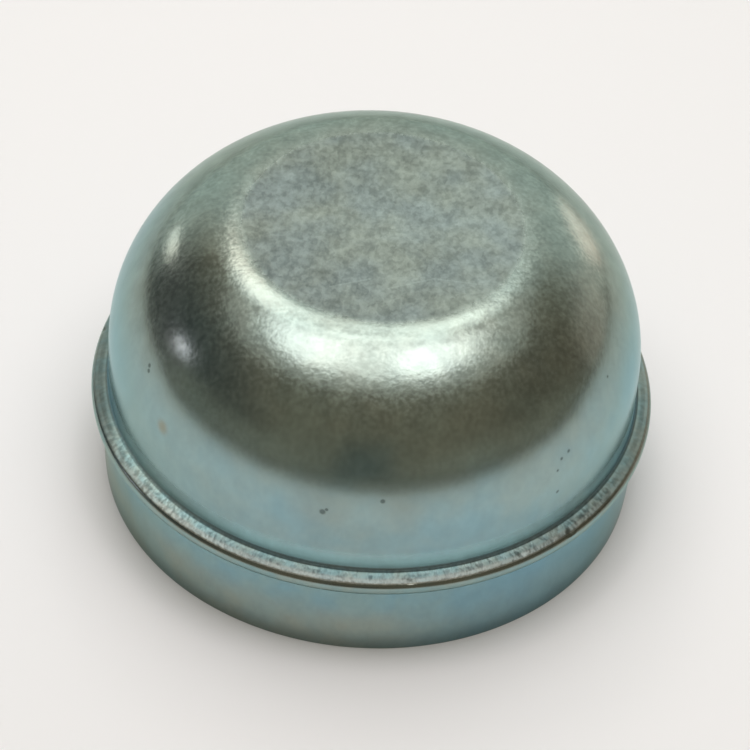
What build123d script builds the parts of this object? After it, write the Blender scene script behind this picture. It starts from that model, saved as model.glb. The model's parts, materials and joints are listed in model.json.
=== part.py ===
from build123d import *
from math import asin, cos, degrees, radians, sin, tan
import os

# Hub grease cap: one drawn sheet-steel cup that is pressed into the outer end of a wheel hub.
# It stands on its open rim: the origin is the centre of the rim plane, and +Z runs up to the crown.
# Lengths are in millimetres and angles in degrees. Radii of bends are those of the outer face.

# Driving dimensions
sheet = 0.8                 # thickness of the steel sheet
hub_bore = 50.3             # diameter of the hub's bore that takes the skirt
press_interference = 0.1    # how much wider than the bore the land is, on the diameter
land_height = 5.1           # cylindrical length of the skirt, next to the bead
lead_in_height = 3.2        # curved length of the skirt, next to the rim
lead_in_depth = 0.15        # how far the lead-in draws the rim in, on the radius
seat_root_radius = 0.15     # bend between the land and the bead's underside
seat_width = 0.2            # flat ring under the bead that stops on the hub's face
fold_radius = 0.8           # lower half of the fold, from the seat to the bead's outer edge
bead_edge_radius = 0.65     # upper half of the fold, pressed tighter than the lower one
bead_slope = 20.0           # fall of the bead's top from the wall to its outer edge
slit_depth = 0.15           # how far the slit between the two layers runs past the root bend
fold_gap = 0.06             # width of that slit at its end
crease_radius = 0.3         # bend between the wall and the bead's top
wall_inset = 0.45           # how far the wall stands in from the land, on the radius
wall_height = 4.54          # from the bead's top to the shoulder
shoulder_radius = 15.3      # large radius of the shoulder, next to the wall
shoulder_sweep = 64.0       # angle that the large radius turns through
crown_edge_radius = 6.8     # smaller radius that ends the shoulder at the crown

# Skirt
land_radius = (hub_bore + press_interference) / 2
lead_in_radius = (lead_in_height**2 + lead_in_depth**2) / (2 * lead_in_depth)
lead_in_centre = land_radius - lead_in_radius
skirt_height = lead_in_height + land_height

# Folded bead: two layers of the sheet, the upper one sloping
slope = radians(bead_slope)
wall_radius = land_radius - wall_inset
root_centre = land_radius + seat_root_radius
slit_end = root_centre + slit_depth
bead_radius = root_centre + seat_width + fold_radius
slit_top = skirt_height + sheet + fold_gap
bead_top = slit_top + sheet / cos(slope) + (slit_end - wall_radius) * tan(slope)
crease_centre = wall_radius + crease_radius
crease_height = bead_top - crease_radius * tan(slope) + crease_radius / cos(slope)

# Wall, shoulder and crown
wall_top = bead_top + wall_height
shoulder_centre = wall_radius - shoulder_radius
radius_step = shoulder_radius - crown_edge_radius
crown_radius = shoulder_centre + radius_step * cos(radians(shoulder_sweep))
crown_edge_height = wall_top + radius_step * sin(radians(shoulder_sweep))
crown_top = crown_edge_height + crown_edge_radius


def sheet_face(depth, fold_end):
    """Draw one face of the sheet, at a depth under the outer face, from the crown's centre to the rim.

    The face turns back under itself with square corners at the radius fold_end.
    """
    crown = Line((0, crown_top - depth), (crown_radius, crown_top - depth))
    CenterArc((crown_radius, crown_edge_height), crown_edge_radius - depth, 90, shoulder_sweep - 90)
    CenterArc((shoulder_centre, wall_top), shoulder_radius - depth, shoulder_sweep, -shoulder_sweep)
    Line((wall_radius - depth, wall_top), (wall_radius - depth, crease_height))
    crease = CenterArc((crease_centre, crease_height), crease_radius + depth, 180, 90 - bead_slope)
    fold_top = bead_top - (fold_end - wall_radius) * tan(slope) - depth / cos(slope)
    fold_bottom = skirt_height + depth
    Polyline(crease @ 1, (fold_end, fold_top), (fold_end, fold_bottom), (root_centre, fold_bottom))
    CenterArc((root_centre, skirt_height - seat_root_radius), seat_root_radius + depth, 90, 90)
    Line((land_radius - depth, skirt_height - seat_root_radius), (land_radius - depth, lead_in_height))
    lead_in_turn = degrees(asin(lead_in_height / (lead_in_radius - depth)))
    lead_in = CenterArc((lead_in_centre, lead_in_height), lead_in_radius - depth, 0, -lead_in_turn)
    return crown @ 0, lead_in @ 1


with BuildPart() as grease_cap:
    with BuildSketch(Plane.XZ) as section:
        with BuildLine() as outline:
            outer_centre, outer_rim = sheet_face(0, bead_radius)
            inner_centre, inner_rim = sheet_face(sheet, slit_end)
            Line(outer_centre, inner_centre)
            Line(outer_rim, inner_rim)
        make_face()
        fillet(section.vertices().group_by(Axis.X)[-1].sort_by(Axis.Y)[-1], bead_edge_radius)
        fillet(section.vertices().group_by(Axis.X)[-1].sort_by(Axis.Y)[0], fold_radius)
    revolve(axis=Axis.Z)

grease_cap.part.label = "grease_cap"
os.makedirs("parts", exist_ok=True)
export_step(grease_cap.part, "parts/grease_cap.step")
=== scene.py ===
import json
from math import asin, cos, degrees, pi, radians, sin, tan

import bpy
from mathutils import Matrix, Vector


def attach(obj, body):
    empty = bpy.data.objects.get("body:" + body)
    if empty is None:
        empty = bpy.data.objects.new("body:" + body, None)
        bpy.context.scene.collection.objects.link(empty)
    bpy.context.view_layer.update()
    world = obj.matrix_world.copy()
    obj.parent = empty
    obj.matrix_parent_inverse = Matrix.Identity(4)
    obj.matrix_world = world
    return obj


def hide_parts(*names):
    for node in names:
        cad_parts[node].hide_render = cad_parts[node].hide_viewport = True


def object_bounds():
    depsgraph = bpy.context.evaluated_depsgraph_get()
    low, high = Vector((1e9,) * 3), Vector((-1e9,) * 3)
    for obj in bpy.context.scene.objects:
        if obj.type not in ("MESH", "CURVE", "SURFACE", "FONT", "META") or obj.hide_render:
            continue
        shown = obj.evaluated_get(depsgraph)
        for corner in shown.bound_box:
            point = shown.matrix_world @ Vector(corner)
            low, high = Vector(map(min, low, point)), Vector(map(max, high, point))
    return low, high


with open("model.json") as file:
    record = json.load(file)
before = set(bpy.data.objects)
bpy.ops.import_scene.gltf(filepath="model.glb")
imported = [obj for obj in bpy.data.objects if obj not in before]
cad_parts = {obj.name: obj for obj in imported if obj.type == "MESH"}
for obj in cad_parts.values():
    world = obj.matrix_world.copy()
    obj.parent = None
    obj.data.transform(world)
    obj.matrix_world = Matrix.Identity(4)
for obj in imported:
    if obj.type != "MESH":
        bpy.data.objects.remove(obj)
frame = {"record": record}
cad_low, cad_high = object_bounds()

# Hub grease cap: one zinc-plated cup of drawn sheet steel, standing on its open rim.
# Lengths are in metres and angles in degrees. The section's own sizes repeat the drawing of the part.
MM = 0.001
mounts = {mount["name"]: mount for mount in frame["record"]["mounts"]}
land_radius = mounts["press_land"]["dims"]["r_mm"] * MM
skirt_height = mounts["bead_seat"]["pos_m"][2]
bead_radius = min(cad_high.x, cad_high.y)
crown_top = cad_high.z

sheet = 0.8 * MM
lead_in_height = 3.2 * MM
lead_in_depth = 0.15 * MM
trim_radius = 0.06 * MM
seat_root_radius = 0.15 * MM
seat_width = 0.2 * MM
bead_edge_radius = 0.65 * MM
bead_slope = 20.0
slit_depth = 0.15 * MM
fold_gap = 0.06 * MM
crease_radius = 0.3 * MM
wall_inset = 0.45 * MM
shoulder_radius = 15.3 * MM
shoulder_sweep = 64.0
crown_edge_radius = 6.8 * MM

# Slight roundings that the drawing leaves straight: the crown's border and the bead's top
roll_radius = 14.0 * MM
roll_turn = 2.0
bead_slope_inner = 16.0
bead_slope_outer = 28.0

# Places worked out from those sizes, by the same rules as the drawing
lead_in_radius = (lead_in_height**2 + lead_in_depth**2) / (2 * lead_in_depth)
lead_in_centre = land_radius - lead_in_radius
wall_radius = land_radius - wall_inset
root_centre = land_radius + seat_root_radius
slit_end = root_centre + slit_depth
fold_radius = bead_radius - root_centre - seat_width
slope = radians(bead_slope)
layer = sheet / cos(slope)
bead_top = skirt_height + sheet + fold_gap + layer + (slit_end - wall_radius) * tan(slope)


def bead_height(radius):
    """Height of the bead's sloping top at a radius."""
    return bead_top - (radius - wall_radius) * tan(slope)


crease_centre = wall_radius + crease_radius
crease_height = bead_height(crease_centre) + crease_radius / cos(slope)
edge_centre = bead_radius - bead_edge_radius
edge_height = bead_height(edge_centre) - bead_edge_radius / cos(slope)
inner_sine, outer_sine = sin(radians(bead_slope_inner)), sin(radians(bead_slope_outer))
round_span = edge_centre - crease_centre + crease_radius * inner_sine + bead_edge_radius * outer_sine
round_radius = round_span / (outer_sine - inner_sine)
round_centre = edge_centre - (round_radius - bead_edge_radius) * outer_sine
round_height = edge_height - (round_radius - bead_edge_radius) * cos(radians(bead_slope_outer))
outer_crease_height = round_height + (round_radius + crease_radius) * cos(radians(bead_slope_inner))
shoulder_centre = wall_radius - shoulder_radius
radius_step = shoulder_radius - crown_edge_radius
crown_radius = shoulder_centre + radius_step * cos(radians(shoulder_sweep))
roll_drop = (roll_radius - crown_edge_radius) * (1 - cos(radians(roll_turn)))
roll_start = crown_radius - (roll_radius - crown_edge_radius) * sin(radians(roll_turn))
crown_edge_height = crown_top - roll_drop - crown_edge_radius
wall_top = crown_edge_height - radius_step * sin(radians(shoulder_sweep))


def add_node(tree, kind, inputs=None, **options):
    """Add a node, set its options, and give its inputs values or links from other nodes' sockets."""
    node = tree.nodes.new(kind)
    for name, value in options.items():
        setattr(node, name, value)
    for key, value in (inputs or {}).items():
        if isinstance(value, bpy.types.NodeSocket):
            tree.links.new(value, node.inputs[key])
        else:
            node.inputs[key].default_value = value
    return node


def calculate(tree, operation, *values):
    """One step of arithmetic on numbers."""
    return add_node(tree, "ShaderNodeMath", dict(enumerate(values)), operation=operation).outputs[0]


def calculate_vector(tree, operation, *values):
    """One step of arithmetic on vectors."""
    step = add_node(tree, "ShaderNodeVectorMath", dict(enumerate(values)), operation=operation)
    return step.outputs["Value" if operation in ("LENGTH", "DISTANCE", "DOT_PRODUCT") else "Vector"]


def multiply(tree, first, *others):
    """Product of several numbers."""
    for other in others:
        first = calculate(tree, "MULTIPLY", first, other)
    return first


def scaled(tree, vector, amount):
    """Multiply a vector or a colour by a number."""
    return calculate_vector(tree, "SCALE", vector, (0, 0, 0), (0, 0, 0), amount)


def combine(tree, **parts):
    """Vector from its parts, named X, Y and Z."""
    return add_node(tree, "ShaderNodeCombineXYZ", parts).outputs[0]


def fade(tree, value, start, end, low=0.0, high=1.0):
    """Go smoothly from low to high as the value goes from start to end."""
    names = ("Value", "From Min", "From Max", "To Min", "To Max")
    inputs = dict(zip(names, (value, start, end, low, high)))
    return add_node(tree, "ShaderNodeMapRange", inputs, interpolation_type="SMOOTHSTEP").outputs[0]


def blend_colours(tree, share, first, second):
    """Mix two colours by a share of the second."""
    inputs = {0: share, 6: first, 7: second}
    return add_node(tree, "ShaderNodeMix", inputs, data_type="RGBA").outputs[2]


def noise(tree, vector, scale, detail=2.0, roughness=0.5, distortion=0.0):
    """Smooth noise between 0 and 1."""
    inputs = {
        "Vector": vector,
        "Scale": scale,
        "Detail": detail,
        "Roughness": roughness,
        "Distortion": distortion,
    }
    return add_node(tree, "ShaderNodeTexNoise", inputs).outputs[0]


def new_group(name, kind, inputs, outputs):
    """Start a node group with named sockets, and return it with its input and output nodes."""
    group = bpy.data.node_groups.new(name, kind)
    for socket_name, socket_type in inputs.items():
        group.interface.new_socket(socket_name, in_out="INPUT", socket_type=socket_type)
    for socket_name, socket_type in outputs.items():
        group.interface.new_socket(socket_name, in_out="OUTPUT", socket_type=socket_type)
    return group, group.nodes.new("NodeGroupInput"), group.nodes.new("NodeGroupOutput")


# Section of the sheet, as points of radius and height

def straight(start, end, steps):
    """Points of a straight run, without its last one."""
    shares = [k / steps for k in range(steps)]
    return [(start[0] + (end[0] - start[0]) * t, start[1] + (end[1] - start[1]) * t) for t in shares]


def bend(centre, radius, start, turn, steps):
    """Points of an arc, without its last one. Angles are in degrees from the outward direction."""
    angles = [radians(start + turn * k / steps) for k in range(steps)]
    return [(centre[0] + radius * cos(a), centre[1] + radius * sin(a)) for a in angles]


def upper_face(depth, fineness, wall_bottom):
    """Named runs of one face of the sheet, from the crown's centre to the foot of the wall."""
    def steps(count):
        return max(1, round(count * fineness))

    sweep = shoulder_sweep
    crown_edge_centre = (crown_radius, crown_edge_height)
    edge_from = 90 - roll_turn
    edge_turn = sweep - edge_from
    return {
        "crown": straight((0, crown_top - depth), (roll_start, crown_top - depth), steps(6)),
        "roll": bend((roll_start, crown_top - roll_radius), roll_radius - depth, 90, -roll_turn, steps(4)),
        "crown edge": bend(crown_edge_centre, crown_edge_radius - depth, edge_from, edge_turn, steps(8)),
        "shoulder": bend((shoulder_centre, wall_top), shoulder_radius - depth, sweep, -sweep, steps(34)),
        "wall": straight((wall_radius - depth, wall_top), (wall_radius - depth, wall_bottom), steps(5)),
    }


def lower_face(depth, fineness):
    """Named runs of one face of the sheet, from the bend under the bead to the trimmed edge."""
    def steps(count):
        return max(1, round(count * fineness))

    land = land_radius - depth
    lead_in = lead_in_radius - depth
    lead_in_turn = asin((lead_in_height - trim_radius) / lead_in)
    root_height = skirt_height - seat_root_radius
    return {
        "root": bend((root_centre, root_height), seat_root_radius + depth, 90, 90, steps(6)),
        "land": straight((land, root_height), (land, lead_in_height), steps(5)),
        "lead-in": bend((lead_in_centre, lead_in_height), lead_in, 0, -degrees(lead_in_turn), steps(6)),
        "trim": [(lead_in_centre + lead_in * cos(lead_in_turn), trim_radius)],
    }


def outer_runs():
    """Named runs of the outer face: the bead's top rounds over to a tight edge, above a wider fold."""
    runs = upper_face(0, 1.0, outer_crease_height)
    fold_height = skirt_height + fold_radius
    inner, outer = bead_slope_inner, bead_slope_outer
    runs["crease"] = bend((crease_centre, outer_crease_height), crease_radius, 180, 90 - inner, 6)
    runs["bead top"] = bend((round_centre, round_height), round_radius, 90 - inner, inner - outer, 8)
    runs["bead edge"] = bend((edge_centre, edge_height), bead_edge_radius, 90 - outer, outer - 90, 8)
    runs["bead side"] = straight((bead_radius, edge_height), (bead_radius, fold_height), 1)
    runs["fold"] = bend((bead_radius - fold_radius, fold_height), fold_radius, 0, -90, 9)
    runs["seat"] = straight((root_centre + seat_width, skirt_height), (root_centre, skirt_height), 1)
    runs.update(lower_face(0, 1.0))
    return runs


def inner_points():
    """Points of the inner face, from the crown's centre to the trimmed edge, round the slit in the bead."""
    upper = [point for run in upper_face(sheet, 0.4, crease_height).values() for point in run]
    crease = bend((crease_centre, crease_height), crease_radius + sheet, 180, 90 - bead_slope, 4)
    slit = [(slit_end, skirt_height + sheet + fold_gap), (slit_end, skirt_height + sheet)]
    lower = [point for run in lower_face(sheet, 0.6).values() for point in run]
    return upper + crease + slit + lower


# Length along the outer face at which each of its runs starts
outer_face = outer_runs()
run_start = {}
run_length = 0.0
last_point = (0, crown_top)
for run_name, run_points in outer_face.items():
    for run_point in run_points:
        run_length += (Vector(run_point) - Vector(last_point)).length
        last_point = run_point
        run_start.setdefault(run_name, run_length)


# The section is turned into the cap along a guide circle
guide_radius = 10 * MM
turn_segments = 640
merge_distance = 0.001 * MM


def section_mesh():
    """The sheet's section as a line of edges, with the length along the face and the side as attributes."""
    outer = [point for run in outer_face.values() for point in run]
    inner = inner_points()
    outer_rim, inner_rim = outer[-1][0], inner[-1][0]
    rim = bend((outer_rim - trim_radius, trim_radius), trim_radius, 0, -90, 3)[1:]
    rim += straight((outer_rim - trim_radius, 0), (inner_rim + trim_radius, 0), 2)
    rim += bend((inner_rim + trim_radius, trim_radius), trim_radius, -90, -90, 3)
    points = outer + rim + inner[::-1]
    sides = [0.0] * len(outer) + [0.5] * len(rim) + [1.0] * len(inner)
    lengths = [0.0]
    for before, after in zip(points, points[1:]):
        lengths.append(lengths[-1] + (Vector(after) - Vector(before)).length)

    mesh = bpy.data.meshes.new("section")
    vertices = [(radius - guide_radius, -height, 0) for radius, height in points]
    mesh.from_pydata(vertices, [(k, k + 1) for k in range(len(points) - 1)], [])
    for name, values in (("along", lengths), ("side", sides)):
        mesh.attributes.new(name, "FLOAT", "POINT").data.foreach_set("value", values)
    return mesh


# Small dents knocked into the bead, as angle, radius, height, reach and depth, in degrees and millimetres
bead_dents = (
    (-43.6, 26.12, 9.83, 0.55, 0.14),
    (-55.7, 25.70, 9.95, 0.45, 0.10),
    (-79.5, 25.95, 9.90, 0.40, 0.10),
    (27.0, 26.20, 9.74, 0.60, 0.14),
    (96.0, 26.00, 9.88, 0.50, 0.12),
    (171.0, 26.15, 9.80, 0.55, 0.14),
)


def place_on_ring(angle, radius, height):
    """Point in metres, from an angle round the axis in degrees and a radius and a height in millimetres."""
    a = radians(angle)
    return (radius * cos(a) * MM, radius * sin(a) * MM, height * MM)


def cap_tree():
    """Geometry nodes that turn a section round the axis and give each side its finish."""
    inputs = {
        "Section": "NodeSocketGeometry",
        "Segments": "NodeSocketInt",
        "Guide Radius": "NodeSocketFloat",
        "Dent Share": "NodeSocketFloat",
        "Outside": "NodeSocketMaterial",
        "Trimmed Edge": "NodeSocketMaterial",
        "Inside": "NodeSocketMaterial",
    }
    tree, given, result = new_group("drawn_cap", "GeometryNodeTree", inputs, {"Cap": "NodeSocketGeometry"})
    profile = add_node(tree, "GeometryNodeMeshToCurve", {"Mesh": given.outputs["Section"]})
    circle_inputs = {"Resolution": given.outputs["Segments"], "Radius": given.outputs["Guide Radius"]}
    guide = add_node(tree, "GeometryNodeCurvePrimitiveCircle", circle_inputs)
    turned_inputs = {"Curve": guide.outputs["Curve"], "Profile Curve": profile.outputs["Curve"]}
    turned = add_node(tree, "GeometryNodeCurveToMesh", turned_inputs)
    closed_inputs = {"Geometry": turned.outputs["Mesh"], "Distance": merge_distance}
    closed = add_node(tree, "GeometryNodeMergeByDistance", closed_inputs)
    place = add_node(tree, "GeometryNodeInputPosition").outputs[0]
    depth = 0.0
    for angle, radius, height, reach, deepest in bead_dents:
        distance = calculate_vector(tree, "DISTANCE", place, place_on_ring(angle, radius, height))
        depth = calculate(tree, "ADD", depth, fade(tree, distance, reach * MM, 0, 0.0, deepest * MM))
    inward = calculate(tree, "MULTIPLY", given.outputs["Dent Share"], -1.0)
    normal = add_node(tree, "GeometryNodeInputNormal").outputs[0]
    push = scaled(tree, normal, calculate(tree, "MULTIPLY", depth, inward))
    dented_inputs = {"Geometry": closed.outputs["Geometry"], "Offset": push}
    dented = add_node(tree, "GeometryNodeSetPosition", dented_inputs).outputs["Geometry"]
    smooth = add_node(tree, "GeometryNodeSetShadeSmooth", {"Geometry": dented})
    real = add_node(tree, "GeometryNodeRealizeInstances", {"Geometry": smooth.outputs["Geometry"]})
    side = add_node(tree, "GeometryNodeInputNamedAttribute", {"Name": "side"}, data_type="FLOAT")
    finished = real.outputs["Geometry"]
    # A face's side is the mean of its points': 0 outside, 0.25 to 0.75 on the trimmed edge, 1 inside
    for name, least in (("Outside", -1.0), ("Trimmed Edge", 0.2), ("Inside", 0.8)):
        chosen = calculate(tree, "GREATER_THAN", side.outputs["Attribute"], least)
        material_inputs = {"Geometry": finished, "Selection": chosen, "Material": given.outputs[name]}
        finished = add_node(tree, "GeometryNodeSetMaterial", material_inputs).outputs["Geometry"]
    tree.links.new(finished, result.inputs["Cap"])
    return tree


def plain_mesh(name, start_mesh, tree, values):
    """Run a geometry node tree on a mesh and keep the result as a plain object at the origin."""
    piece = bpy.data.objects.new(name, start_mesh)
    bpy.context.scene.collection.objects.link(piece)
    modifier = piece.modifiers.new("shape", "NODES")
    modifier.node_group = tree
    sockets = {item.name: item.identifier for item in tree.interface.items_tree if item.in_out == "INPUT"}
    for socket_name, value in values.items():
        modifier[sockets[socket_name]] = value
    bpy.context.view_layer.update()
    shaped = bpy.data.meshes.new_from_object(piece.evaluated_get(bpy.context.evaluated_depsgraph_get()))
    piece.modifiers.remove(modifier)
    piece.data = shaped
    shaped.name = name
    return piece


# Lengths along the outer face from the crown's centre, where one finish gives way to the next
shoulder_start = run_start["shoulder"]
wall_start = run_start["wall"]
crease_start = run_start["crease"]
bead_start = run_start["bead top"]
edge_start = run_start["bead edge"]
fold_start = run_start["fold"]
skirt_start = run_start["land"]
rim_start = run_start["trim"]


# Finishes

def grain_group():
    """Noise that follows the drawn sheet: plain on the crown, and pulled out towards the rim below it."""
    inputs = {"Cell": "NodeSocketFloat", "Stretch": "NodeSocketFloat", "Rolling": "NodeSocketFloat"}
    group, given, result = new_group("drawn_grain", "ShaderNodeTree", inputs, {"Grain": "NodeSocketFloat"})
    place = add_node(group, "ShaderNodeTexCoord").outputs["Object"]
    along = add_node(group, "ShaderNodeAttribute", attribute_name="along").outputs["Fac"]
    parts = add_node(group, "ShaderNodeSeparateXYZ", {0: place})
    flat = combine(group, X=parts.outputs["X"], Y=parts.outputs["Y"])
    outward = calculate_vector(group, "NORMALIZE", flat)
    ring_radius = calculate(group, "MINIMUM", calculate_vector(group, "LENGTH", flat), wall_radius)
    ring = scaled(group, outward, ring_radius)
    run = calculate(group, "DIVIDE", along, given.outputs["Stretch"])
    drawn = calculate_vector(group, "ADD", ring, combine(group, Z=run))
    rolled = combine(
        group,
        X=parts.outputs["X"],
        Y=calculate(group, "DIVIDE", parts.outputs["Y"], given.outputs["Rolling"]),
        Z=parts.outputs["Z"],
    )
    scale = calculate(group, "DIVIDE", 1.0, given.outputs["Cell"])
    on_crown = fade(group, along, crown_radius + 0.9 * MM, crown_radius - 0.7 * MM)
    drawn_noise = noise(group, drawn, scale, 1.0, 0.5)
    rolled_noise = noise(group, rolled, scale, 1.0, 0.5, 0.25)
    mixed = add_node(group, "ShaderNodeMix", {0: on_crown, 2: drawn_noise, 3: rolled_noise}).outputs[0]
    group.links.new(mixed, result.inputs["Grain"])
    return group


def tint_group():
    """Clouds of cooler and warmer colour in the thin clear coating over the zinc."""
    inputs = {"Cloud Size": "NodeSocketFloat", "Cool": "NodeSocketColor", "Warm": "NodeSocketColor"}
    group, given, result = new_group("coating_tint", "ShaderNodeTree", inputs, {"Tint": "NodeSocketColor"})
    place = add_node(group, "ShaderNodeTexCoord").outputs["Object"]
    scale = calculate(group, "DIVIDE", 1.0, given.outputs["Cloud Size"])
    share = fade(group, noise(group, place, scale, 3.0, 0.55), 0.3, 0.7)
    mixed = blend_colours(group, share, given.outputs["Cool"], given.outputs["Warm"])
    group.links.new(mixed, result.inputs["Tint"])
    return group


drawn_grain = grain_group()
coating_tint = tint_group()


def use_group(tree, group, inputs):
    """Place a node group in a material with its own values, and return its first output."""
    used = add_node(tree, "ShaderNodeGroup", node_tree=group)
    for name, value in inputs.items():
        used.inputs[name].default_value = value
    return used.outputs[0]


def metal(name):
    """A new material with a plain metal shader, ready for its own finish."""
    material = bpy.data.materials.new(name)
    material.use_nodes = True
    shader = material.node_tree.nodes["Principled BSDF"]
    shader.inputs["Metallic"].default_value = 1.0
    return material, material.node_tree, shader


def finish_metal(tree, shader, colour, roughness, height, depth):
    """Link a metal's colour and roughness, and the height of its relief, whose depth is in metres."""
    tree.links.new(colour, shader.inputs["Base Color"])
    tree.links.new(roughness, shader.inputs["Roughness"])
    relief = add_node(tree, "ShaderNodeBump", {"Strength": 1.0, "Distance": depth, "Height": height})
    tree.links.new(relief.outputs["Normal"], shader.inputs["Normal"])


# Marks in the plating. Angles are in degrees round the axis, and lengths in millimetres.
# Dark pits, as angle, height and radius. Each fades out at pit_spread times its radius.
pits = (
    (-148.7, 21.3, 0.2), (-148.2, 20.9, 0.2), (-98.2, 16.9, 0.28), (-97.4, 17.2, 0.16), (-86.0, 18.6, 0.22),
    (-42.5, 18.6, 0.18), (-44.7, 18.3, 0.16), (-46.0, 17.3, 0.14), (-45.8, 14.7, 0.18), (-24.6, 21.6, 0.14),
    (38.0, 17.5, 0.2), (112.0, 19.4, 0.2), (165.0, 16.1, 0.24), (74.0, 14.2, 0.16),
)
pit_spread = 1.4
# Brown stains on the shoulder, as angle, height, radius and strength
stains = ((-138.6, 17.75, 1.1, 0.7), (-99.0, 17.3, 4.2, 0.3), (-82.0, 17.6, 3.4, 0.25))
# Light scratches across the crown, as pairs of end points
scratches = (
    ((-4.28, -8.68), (-0.76, -7.27)),
    ((0.88, -8.39), (4.88, -6.68)),
    ((4.88, -6.68), (9.04, -7.03)),
)
scratch_width = 0.16 * MM

# Clouds of colour in the coating, as size in millimetres, cooler colour and warmer colour
tints = {
    "crown": (6, (0.192, 0.237, 0.230, 1), (0.210, 0.247, 0.217, 1)),
    "shoulder": (9, (0.275, 0.345, 0.315, 1), (0.300, 0.348, 0.305, 1)),
    "wall": (7, (0.264, 0.416, 0.457, 1), (0.312, 0.416, 0.408, 1)),
    "bead": (2, (0.248, 0.388, 0.400, 1), (0.297, 0.380, 0.355, 1)),
    "skirt": (4, (0.232, 0.395, 0.452, 1), (0.278, 0.412, 0.418, 1)),
    "low skirt": (5, (0.315, 0.405, 0.385, 1), (0.360, 0.400, 0.345, 1)),
    "inside": (8, (0.265, 0.345, 0.335, 1), (0.305, 0.350, 0.305, 1)),
    "trimmed edge": (4, (0.270, 0.330, 0.320, 1), (0.310, 0.335, 0.285, 1)),
}
# Plain tints over parts of the outer face: all but the stain brown are painted reflections, laid on by
# place and side
crease_reflection_blue = (0.46, 0.76, 0.80, 1)
bead_reflection_grey = (0.320, 0.335, 0.310, 1)
left_reflection_green = (0.300, 0.400, 0.380, 1)
left_back_reflection_blue = (0.250, 0.395, 0.470, 1)
side_reflection_blue = (0.225, 0.432, 0.530, 1)
skirt_reflection_blue = (0.200, 0.370, 0.465, 1)
edge_reflection_brown = (0.16, 0.14, 0.10, 1)
stain_brown = (0.29, 0.27, 0.19, 1)


def tint(tree, name):
    """The coating's clouds of colour on one part of the cap."""
    size, cool, warm = tints[name]
    return use_group(tree, coating_tint, {"Cloud Size": size * MM, "Cool": cool, "Warm": warm})


def grain_noise(tree, cell, stretch, rolling):
    """Grain of the drawn sheet, with the size of its cells in millimetres."""
    return use_group(tree, drawn_grain, {"Cell": cell * MM, "Stretch": stretch, "Rolling": rolling})


def face_radius(height):
    """Radius of the shoulder or wall at a height, in millimetres."""
    over_wall = max(0.0, height * MM - wall_top)
    return (shoulder_centre + (shoulder_radius**2 - over_wall**2) ** 0.5) / MM


def spot(tree, place, angle, height, size, core):
    """1 in the middle of a round spot on the shoulder or wall, and 0 away from it."""
    centre = place_on_ring(angle, face_radius(height), height)
    distance = calculate_vector(tree, "DISTANCE", place, centre)
    return fade(tree, distance, size * MM, core * size * MM)


def scratch_line(tree, place, start, end, width):
    """1 on a straight scratch across the crown, and 0 away from it."""
    tail = Vector((start[0], start[1], crown_top / MM)) * MM
    head = Vector((end[0], end[1], crown_top / MM)) * MM
    run = head - tail
    from_tail = calculate_vector(tree, "SUBTRACT", place, tail)
    reach = calculate_vector(tree, "DOT_PRODUCT", from_tail, run / run.length_squared)
    share = calculate(tree, "MINIMUM", calculate(tree, "MAXIMUM", reach, 0.0), 1.0)
    nearest = scaled(tree, run, share)
    return fade(tree, calculate_vector(tree, "DISTANCE", from_tail, nearest), width, 0.2 * width)


def top_place(share):
    """Place along the section at a share of the way from the crease to the bead's outer edge."""
    return crease_start + share * (edge_start - crease_start)


def band(tree, along, origin, start, full, last, end):
    """1 from full to last along the section, and 0 outside start and end, in millimetres from an origin."""
    rise = fade(tree, along, origin + start * MM, origin + full * MM)
    fall = fade(tree, along, origin + end * MM, origin + last * MM)
    return calculate(tree, "MULTIPLY", rise, fall)


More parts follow.
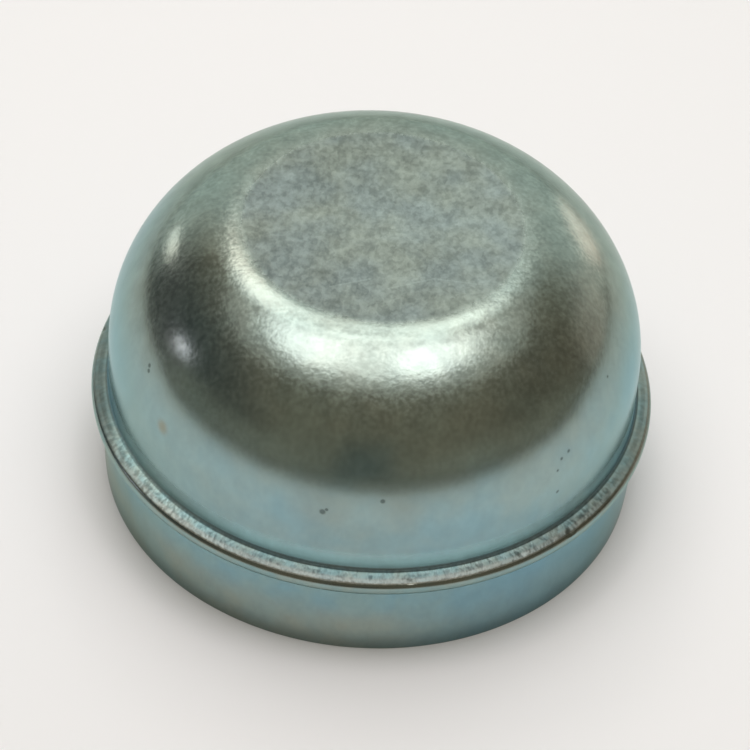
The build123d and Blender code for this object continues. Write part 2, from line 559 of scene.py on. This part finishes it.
def zinc_outside():
    """Satin zinc on the outer face: grained crown and shoulder, smooth bluish wall and skirt, with painted
    reflections, light and shade laid on by side.
    """
    material, tree, shader = metal("zinc_outside")
    place = add_node(tree, "ShaderNodeTexCoord").outputs["Object"]
    along = add_node(tree, "ShaderNodeAttribute", attribute_name="along").outputs["Fac"]
    parts = add_node(tree, "ShaderNodeSeparateXYZ", {0: place})
    across = parts.outputs["X"]
    back = parts.outputs["Y"]
    aside = calculate(tree, "ABSOLUTE", across)

    # Parts of the outer face, by the length along the section
    on_crown = fade(tree, along, crown_radius, crown_radius - 0.8 * MM)
    low_shoulder = fade(tree, along, wall_start - 14 * MM, wall_start - 7 * MM)
    on_wall = fade(tree, along, wall_start - 11 * MM, wall_start - 1 * MM)
    over_crease = band(tree, along, crease_start, -2.2, -0.5, -0.04, 0.06)
    in_crease = band(tree, along, crease_start, 0.02, 0.12, 0.42, 0.54)
    past_crease = fade(tree, along, bead_start - 0.2 * MM, bead_start)
    above_bead = calculate(tree, "SUBTRACT", 1.0, past_crease)
    on_bare_wall = multiply(tree, on_wall, above_bead)
    on_bead = multiply(tree, past_crease, fade(tree, along, skirt_start + 0.4 * MM, fold_start + 1 * MM))
    on_bead_top = multiply(tree, past_crease, fade(tree, along, edge_start + 0.2 * MM, edge_start))
    middle_rise = fade(tree, along, top_place(0.4), top_place(0.58))
    bead_middle = multiply(tree, middle_rise, fade(tree, along, top_place(0.86), top_place(0.72)))
    bead_outside = fade(tree, along, top_place(0.6), top_place(0.8))
    on_bead_edge = band(tree, along, edge_start, -0.08, 0.06, 0.42, 0.62)
    on_skirt = fade(tree, along, skirt_start, skirt_start + 0.6 * MM)
    low_skirt = fade(tree, along, skirt_start + 1.2 * MM, rim_start - 2.5 * MM)

    # Grain fades out down the shoulder; its relief is deepest on the bead's top, in front
    fine = grain_noise(tree, 0.44, 1.6, 1.4)
    strokes = grain_noise(tree, 0.36, 1.5, 1.5)
    broad = grain_noise(tree, 1.7, 1.4, 1.2)
    drawn_share = fade(tree, along, wall_start - 4 * MM, shoulder_start + 3 * MM, 0.16, 0.7)
    grained = calculate(tree, "ADD", drawn_share, multiply(tree, on_crown, 0.32))
    front_top = multiply(tree, on_bead_top, fade(tree, back, -6 * MM, -20 * MM, 0.3, 1.0))
    stroke_share = multiply(tree, front_top, fade(tree, strokes, 0.3, 0.7, -0.5, 0.5))
    soft_grain = multiply(tree, fade(tree, fine, 0.24, 0.76, -0.22, 0.22), grained)
    grain = calculate(tree, "MULTIPLY_ADD", stroke_share, 0.8, soft_grain)
    relief = calculate(tree, "MULTIPLY_ADD", stroke_share, 0.9, soft_grain)

    # Colour: each share lays its tint over those before it
    # Painted reflection of the bead's top: a pale blue band on the wall just above the crease, strongest in
    # front
    painted_reflection_line = multiply(tree, over_crease, fade(tree, aside, 10 * MM, 19 * MM, 0.75, 0.3))
    # Painted reflection: grey over the outer part of the bead's top, strongest in front
    grey_top = multiply(tree, front_top, multiply(tree, bead_outside, 0.55))
    # Painted reflection: a greener tint on the bare wall's left
    left_wall = multiply(tree, on_bare_wall, fade(tree, across, -6 * MM, -19 * MM, 0.0, 0.55))
    # Painted reflection: a blue tint low on the shoulder at the left, towards the back
    left_side = fade(tree, across, -13 * MM, -22 * MM)
    towards_back = fade(tree, back, -5 * MM, 6 * MM, 0.0, 0.75)
    left_back = multiply(tree, left_side, towards_back, low_shoulder, above_bead)
    # Painted reflection: a deeper blue on the bare wall at its far left and right
    side_wall = multiply(tree, fade(tree, aside, 0.86 * wall_radius, wall_radius, 0.0, 0.75), on_bare_wall)
    # Painted reflection: a bluer skirt towards the right
    right_skirt = multiply(tree, on_skirt, fade(tree, across, 3 * MM, 17 * MM, 0.0, 0.6))
    # Lower skirt in olive clouds: partly the coating's own tint, partly a painted reflection set stronger
    # to the left
    olive_skirt = multiply(tree, low_skirt, fade(tree, across, 9 * MM, 1 * MM, 0.25, 1.0))
    # Painted reflection: a dark brown line on the bead's outer edge, stronger to the right
    brown_edge = multiply(tree, on_bead_edge, fade(tree, across, -23 * MM, -13 * MM, 0.35, 0.65))
    colour = blend_colours(tree, on_crown, tint(tree, "shoulder"), tint(tree, "crown"))
    for share, tone in (
        (on_wall, tint(tree, "wall")),
        (painted_reflection_line, crease_reflection_blue),
        (on_bead, tint(tree, "bead")),
        (grey_top, bead_reflection_grey),
        (left_wall, left_reflection_green),
        (left_back, left_back_reflection_blue),
        (side_wall, side_reflection_blue),
        (on_skirt, tint(tree, "skirt")),
        (right_skirt, skirt_reflection_blue),
        (olive_skirt, tint(tree, "low skirt")),
        (brown_edge, edge_reflection_brown),
    ):
        colour = blend_colours(tree, share, colour, tone)
    for angle, height, size, strength in stains:
        stained = multiply(tree, spot(tree, place, angle, height, size, 0.1), strength)
        colour = blend_colours(tree, stained, colour, stain_brown)

    # Shade: grain and patches, a darker band with painted shade and highlight on the bead's top, pits and
    # painted crease shade, scratches, then the crown's lighter middle with painted light and shade, and
    # painted shade at the rim
    patch_share = calculate(tree, "MULTIPLY_ADD", grained, 0.65, 0.08)
    patches = multiply(tree, calculate(tree, "SUBTRACT", broad, 0.5), patch_share)
    shade = calculate(tree, "ADD", multiply(tree, grain, 0.7), calculate(tree, "ADD", patches, 1.0))
    # A darker band, patchy with noise, along the middle of the bead's top
    dark_bead_middle = multiply(tree, bead_middle, fade(tree, broad, 0.35, 0.65, -0.06, -0.3))
    # Painted shade: the bead's top darker in front than at the sides
    shade = calculate(tree, "ADD", shade, calculate(tree, "MULTIPLY_ADD", front_top, -0.24, dark_bead_middle))
    # Painted highlight: the bead's top lighter on the left towards the front, in speckles, and a little
    # darker on the left further back
    left_across = fade(tree, across, -9 * MM, -20 * MM, 0.0, 0.62)
    left_low = fade(tree, back, -6 * MM, -13 * MM, -0.14, 1.1)
    left_highlight_speckle = fade(tree, strokes, 0.3, 0.7, 0.8, 1.2)
    shade = calculate(tree, "ADD", shade, multiply(tree, left_across, left_low, left_highlight_speckle, on_bead_top))
    # Painted shade in the crease at the foot of the wall, weaker to the left, joined with the real dark
    # pits in the plating
    pits_and_crease_shade = multiply(tree, in_crease, fade(tree, across, -21 * MM, -10 * MM, 0.35, 1.0))
    for angle, height, size in pits:
        pit = spot(tree, place, angle, height, pit_spread * size, 0.4)
        pits_and_crease_shade = calculate(tree, "MAXIMUM", pits_and_crease_shade, pit)
    shade = multiply(tree, shade, calculate(tree, "MULTIPLY_ADD", pits_and_crease_shade, -0.55, 1.0))
    scratched = 0.0
    for start, end in scratches:
        line = scratch_line(tree, place, start, end, scratch_width)
        scratched = calculate(tree, "MAXIMUM", scratched, line)
    shade = calculate(tree, "MULTIPLY_ADD", scratched, 0.16, shade)
    # A lighter middle on the crown; painted light and shade from side to side, lighter to the right and a
    # little darker to the left; painted shade, darker towards the front
    crown_middle = fade(tree, along, 6 * MM, 1 * MM, 0.0, 0.07)
    crown_side_light = multiply(tree, on_crown, fade(tree, across, -9 * MM, 9 * MM, -0.03, 0.1))
    crown_front_shade = multiply(tree, on_crown, fade(tree, back, -11 * MM, 2 * MM, -0.16, 0.0))
    crown_shade = calculate(tree, "ADD", crown_front_shade, calculate(tree, "ADD", crown_middle, crown_side_light))
    shade = calculate(tree, "ADD", shade, crown_shade)
    # Painted shade: the skirt darkens over its last 2.6 mm down to the rim
    rim_shade = fade(tree, along, rim_start - 2.6 * MM, rim_start, 1.0, 0.64)
    colour = scaled(tree, colour, multiply(tree, shade, rim_shade))

    # Gloss: each part of the face adds its own roughness
    roughness = calculate(tree, "MULTIPLY_ADD", on_crown, 0.12, 0.22)
    for share, added in ((on_bead_top, 0.22), (in_crease, 0.25), (over_crease, 0.2), (grain, 0.22)):
        roughness = calculate(tree, "MULTIPLY_ADD", share, added, roughness)
    finish_metal(tree, shader, colour, roughness, relief, 0.016 * MM)
    shader.inputs["Specular Tint"].default_value = (0.74, 0.84, 0.80, 1)
    return material


def zinc_inside():
    """Duller zinc on the inner face, with the punch's drawing marks."""
    material, tree, shader = metal("zinc_inside")
    marks = grain_noise(tree, 0.3, 14.0, 2.0)
    colour = scaled(tree, tint(tree, "inside"), fade(tree, marks, 0.2, 0.8, 0.85, 1.12))
    finish_metal(tree, shader, colour, fade(tree, marks, 0.2, 0.8, 0.34, 0.46), marks, 0.006 * MM)
    return material


def trimmed_edge():
    """The cut edge of the sheet, with marks across its thickness."""
    material, tree, shader = metal("trimmed_edge")
    marks = grain_noise(tree, 0.12, 6.0, 1.0)
    colour = scaled(tree, tint(tree, "trimmed edge"), fade(tree, marks, 0.2, 0.8, 0.8, 1.15))
    finish_metal(tree, shader, colour, fade(tree, marks, 0.2, 0.8, 0.36, 0.5), marks, 0.008 * MM)
    return material


values = {
    "Segments": turn_segments,
    "Guide Radius": guide_radius,
    "Dent Share": 1.0,
    "Outside": zinc_outside(),
    "Trimmed Edge": trimmed_edge(),
    "Inside": zinc_inside(),
}
cap = plain_mesh("grease_cap_drawn", section_mesh(), cap_tree(), values)
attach(cap, "root")
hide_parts("grease_cap")

# Floor: a pale sheet under the cap, on a grey bench.
# The sheet runs far back, and its border is softer at the sides than in front.
floor_radius = 1.2
floor_sides = 64
sheet_reach = 0.108
sheet_colour = (0.86, 0.882, 0.897, 1)
bench_colour = (0.34, 0.33, 0.29, 1)
floor_mesh = bpy.data.meshes.new("floor")
corners = [2 * pi * k / floor_sides for k in range(floor_sides)]
floor_points = [(floor_radius * cos(a), floor_radius * sin(a), 0) for a in corners]
floor_mesh.from_pydata(floor_points, [], [range(floor_sides)])
floor = bpy.data.objects.new("floor", floor_mesh)
bpy.context.scene.collection.objects.link(floor)
floor_material = bpy.data.materials.new("pale_floor")
floor_material.use_nodes = True
floor_tree = floor_material.node_tree
floor_shader = floor_tree.nodes["Principled BSDF"]
floor_place = add_node(floor_tree, "ShaderNodeTexCoord").outputs["Object"]
floor_parts = add_node(floor_tree, "ShaderNodeSeparateXYZ", {0: floor_place})
floor_across = floor_parts.outputs["X"]
floor_back = floor_parts.outputs["Y"]
floor_in_front = calculate(floor_tree, "MINIMUM", floor_back, 0.0)
floor_behind = calculate(floor_tree, "MAXIMUM", floor_back, 0.0)
side_scale = fade(floor_tree, floor_back, -0.05, 0.03, 0.7, 0.27)
floor_near = combine(
    floor_tree,
    X=calculate(floor_tree, "MULTIPLY", floor_across, side_scale),
    Y=calculate(floor_tree, "MULTIPLY_ADD", floor_behind, 0.1, floor_in_front),
)
floor_distance = calculate_vector(floor_tree, "LENGTH", floor_near)
side_share = fade(floor_tree, calculate(floor_tree, "ABSOLUTE", floor_across), 0.02, 0.07)
bench_start = calculate(floor_tree, "MULTIPLY_ADD", side_share, -0.34 * sheet_reach, 0.92 * sheet_reach)
bench_end = calculate(floor_tree, "MULTIPLY_ADD", side_share, 0.42 * sheet_reach, 1.08 * sheet_reach)
bench_share = fade(floor_tree, floor_distance, bench_start, bench_end)
floor_tone = blend_colours(floor_tree, bench_share, sheet_colour, bench_colour)
floor_tree.links.new(floor_tone, floor_shader.inputs["Base Color"])
floor_shader.inputs["Roughness"].default_value = 0.9
floor_shader.inputs["Specular IOR Level"].default_value = 0.0
floor_mesh.materials.append(floor_material)

# Dim room: dark in front and at the sides, lighter low down at the front corners, warm at the back right,
# with a pale wall behind
front_colour = (0.285, 0.250, 0.19, 1)
stand_colour = (0.15, 0.165, 0.15, 1)
left_colour = (0.105, 0.117, 0.110, 1)
left_back_colour = (0.125, 0.13, 0.13, 1)
right_front_colour = (0.19, 0.165, 0.125, 1)
corner_colour = (0.42, 0.39, 0.31, 1)
right_back_colour = (0.68, 0.56, 0.48, 1)
wall_colour = (0.80, 0.83, 0.785, 1)
world = bpy.data.worlds.new("dim_room")
bpy.context.scene.world = world
world.use_nodes = True
room = world.node_tree
direction = add_node(room, "ShaderNodeTexCoord").outputs["Generated"]
room_parts = add_node(room, "ShaderNodeSeparateXYZ", {0: direction})
room_across = room_parts.outputs["X"]
room_back = room_parts.outputs["Y"]
room_up = room_parts.outputs["Z"]
room_aside = calculate(room, "ABSOLUTE", room_across)


def share_round(aim, start, end):
    """Share of the room that lies round a direction: 0 at the cosine start, and 1 at the cosine end."""
    return fade(room, calculate_vector(room, "DOT_PRODUCT", direction, aim), start, end)


stand_share = multiply(
    room,
    fade(room, room_aside, 0.26, 0.08),
    fade(room, room_up, 0.55, 0.2),
    calculate(room, "LESS_THAN", room_back, 0.0),
)
corner_share = multiply(
    room,
    fade(room, room_aside, 0.25, 0.6),
    fade(room, room_up, 0.34, 0.0, 0.0, 0.6),
    fade(room, room_back, 0.15, -0.1),
)
room_colour = front_colour
for room_share, room_tone in (
    (stand_share, stand_colour),
    (fade(room, room_across, -0.5, -0.9), left_colour),
    (share_round((-0.865, 0.495, -0.08), 0.75, 0.98), left_back_colour),
    (fade(room, room_across, 0.6, 0.9), right_front_colour),
    (corner_share, corner_colour),
    (share_round((0.80, 0.60, 0.0), 0.86, 0.995), right_back_colour),
    (share_round((0.05, 0.999, 0), 0.48, 0.83), wall_colour),
):
    room_colour = blend_colours(room, room_share, room_colour, room_tone)
room.links.new(room_colour, room.nodes["Background"].inputs["Color"])


def towards(azimuth, elevation):
    """Direction from the cap. Azimuth 0 is in front, and 90 is to the right."""
    a, e = radians(azimuth), radians(elevation)
    return Vector((sin(a) * cos(e), -cos(a) * cos(e), sin(e)))


# Lamps: each is a soft ellipse that faces down or towards the cap
def soft_lamp(name, place, aim, width, depth, turn, radiance, colour):
    """A soft elliptical lamp that looks from its place along aim, turned about that line."""
    light = bpy.data.lights.new(name, "AREA")
    light.shape = "ELLIPSE"
    light.size = width
    light.size_y = depth
    light.energy = radiance * pi * (pi / 4 * width * depth)
    light.color = colour
    lamp = bpy.data.objects.new(name, light)
    bpy.context.scene.collection.objects.link(lamp)
    facing = aim.to_track_quat("-Z", "Y").to_matrix() @ Matrix.Rotation(radians(turn), 3, "Z")
    lamp.matrix_world = Matrix.Translation(place) @ facing.to_4x4()
    lamp.visible_camera = False


ceiling = 0.38
down = Vector((0, 0, -1))
white = (1, 1, 1)
panel_tone = (1.0, 0.96, 0.965)
tube_tone = (1.0, 0.88, 0.90)
warm_tone = (1.0, 0.83, 0.77)
# Lamps overhead: x and y are shares of a lamp's height; height, width and depth are shares of the ceiling's
for name, x, y, height, width, depth, turn, radiance, colour in (
    ("ceiling_glow", 0.0, 0.08, 1.1, 2.09, 1.606, 0, 0.4, white),
    ("main_panel", 0.0, -0.04, 1.0, 1.16, 0.79, 0, 1.62, panel_tone),
    ("tube_left", -0.305, -0.10, 0.97, 0.39, 0.47, -15, 1.36, tube_tone),
    ("tube_right", 0.255, -0.14, 0.97, 0.36, 0.50, 20, 1.55, tube_tone),
    ("back_panel", -0.10, 0.52, 1.02, 0.92, 0.62, 0, 1.16, white),
    ("back_tube_left", -0.27, 0.65, 0.97, 0.22, 0.62, -27, 2.15, warm_tone),
    ("back_tube_right", 0.11, 0.68, 0.97, 0.18, 0.54, 13, 1.5, white),
):
    place = Vector((x, y, 1)) * (height * ceiling)
    soft_lamp(name, place, down, width * ceiling, depth * ceiling, turn, radiance, colour)
# Lamps low round the cap, as far from it as the ceiling is
for name, azimuth, elevation, width, depth, turn, radiance, colour in (
    ("far_lamp_left_back", -131, 13, 0.22, 0.09, 24, 2.8, (1.0, 0.90, 0.86)),
    ("far_lamp_left", -90, 17, 0.13, 0.09, 0, 3.6, (0.98, 0.87, 1.0)),
    ("far_lamp_right_back", 144, 6, 0.30, 0.26, 0, 1.3, (1.0, 0.70, 0.62)),
):
    place = towards(azimuth, elevation)
    soft_lamp(name, place * ceiling, -place, width * ceiling, depth * ceiling, turn, radiance, colour)

# Camera at the photograph's viewing angle
view_elevation = 44.23
view_roll = 4.078
view_distance = 324.9 * MM
view_aim = Vector((0.230, -0.126, 10.451)) * MM
view_lens = 165.95
e, r = radians(view_elevation), radians(view_roll)
forward = Vector((0, cos(e), -sin(e)))
right = Vector((1, 0, 0))
up = Vector((0, sin(e), cos(e)))
across = cos(r) * right + sin(r) * up
upright = -sin(r) * right + cos(r) * up
camera = bpy.data.objects.new("camera", bpy.data.cameras.new("camera"))
bpy.context.scene.collection.objects.link(camera)
camera.data.lens = view_lens
camera.data.sensor_width = 36
camera.data.clip_start = 0.01
turned = Matrix((across, upright, -forward)).transposed().to_4x4()
camera.matrix_world = Matrix.Translation(view_aim - forward * view_distance) @ turned
bpy.context.scene.camera = camera
bpy.context.scene.view_settings.view_transform = "Standard"
